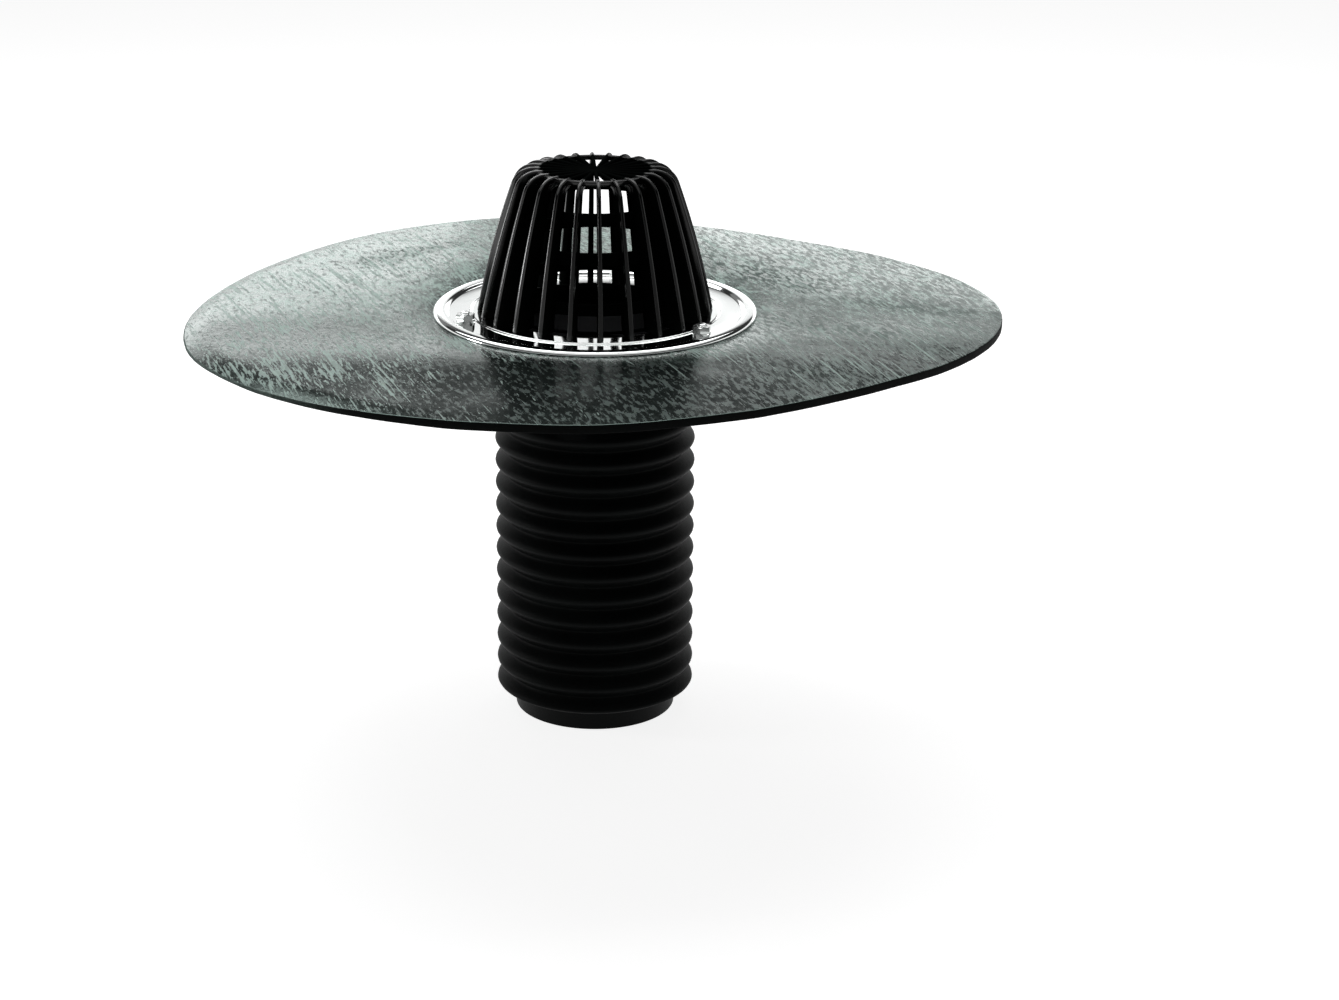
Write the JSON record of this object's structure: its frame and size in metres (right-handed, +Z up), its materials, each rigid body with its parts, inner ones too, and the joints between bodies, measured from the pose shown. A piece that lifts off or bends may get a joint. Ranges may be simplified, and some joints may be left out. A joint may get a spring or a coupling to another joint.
{
  "type": "flat roof drain",
  "caption": "Flat roof drain with a ribbed leaf guard, clamping ring, bitumen sheet collar and a corrugated flexible outlet pipe with a plain spigot.",
  "frame": {"origin": "centre of the lower end of the plain spigot, on the pipe's axis", "axes": "+Z up the pipe's axis towards the leaf guard, -Y towards the front, +X to the right seen from the front"},
  "size_m": [0.5005, 0.4738, 0.3457],
  "materials": {
    "guard_plastic": "satin",
    "pipe_plastic": "satin",
    "bitumen_sheet": "semi-gloss",
    "polished_steel": "polished",
    "body_steel": "satin",
    "fastener_steel": "bright",
    "clamp_steel": "bright"
  },
  "bodies": {
    "root": {"leaf_guard": "guard_plastic", "clamping_ring": "polished_steel", "sheet_collar": "bitumen_sheet", "drain_body": "body_steel", "flexible_pipe": "pipe_plastic", "clamp_band": "clamp_steel", "clamp_housing": "clamp_steel", "clamp_screw": "clamp_steel", "stud_1": "fastener_steel", "stud_2": "fastener_steel", "stud_3": "fastener_steel", "washer_1": "fastener_steel", "washer_2": "fastener_steel", "washer_3": "fastener_steel", "nut_1": "fastener_steel", "nut_2": "fastener_steel", "nut_3": "fastener_steel"}
  },
  "joints": []
}
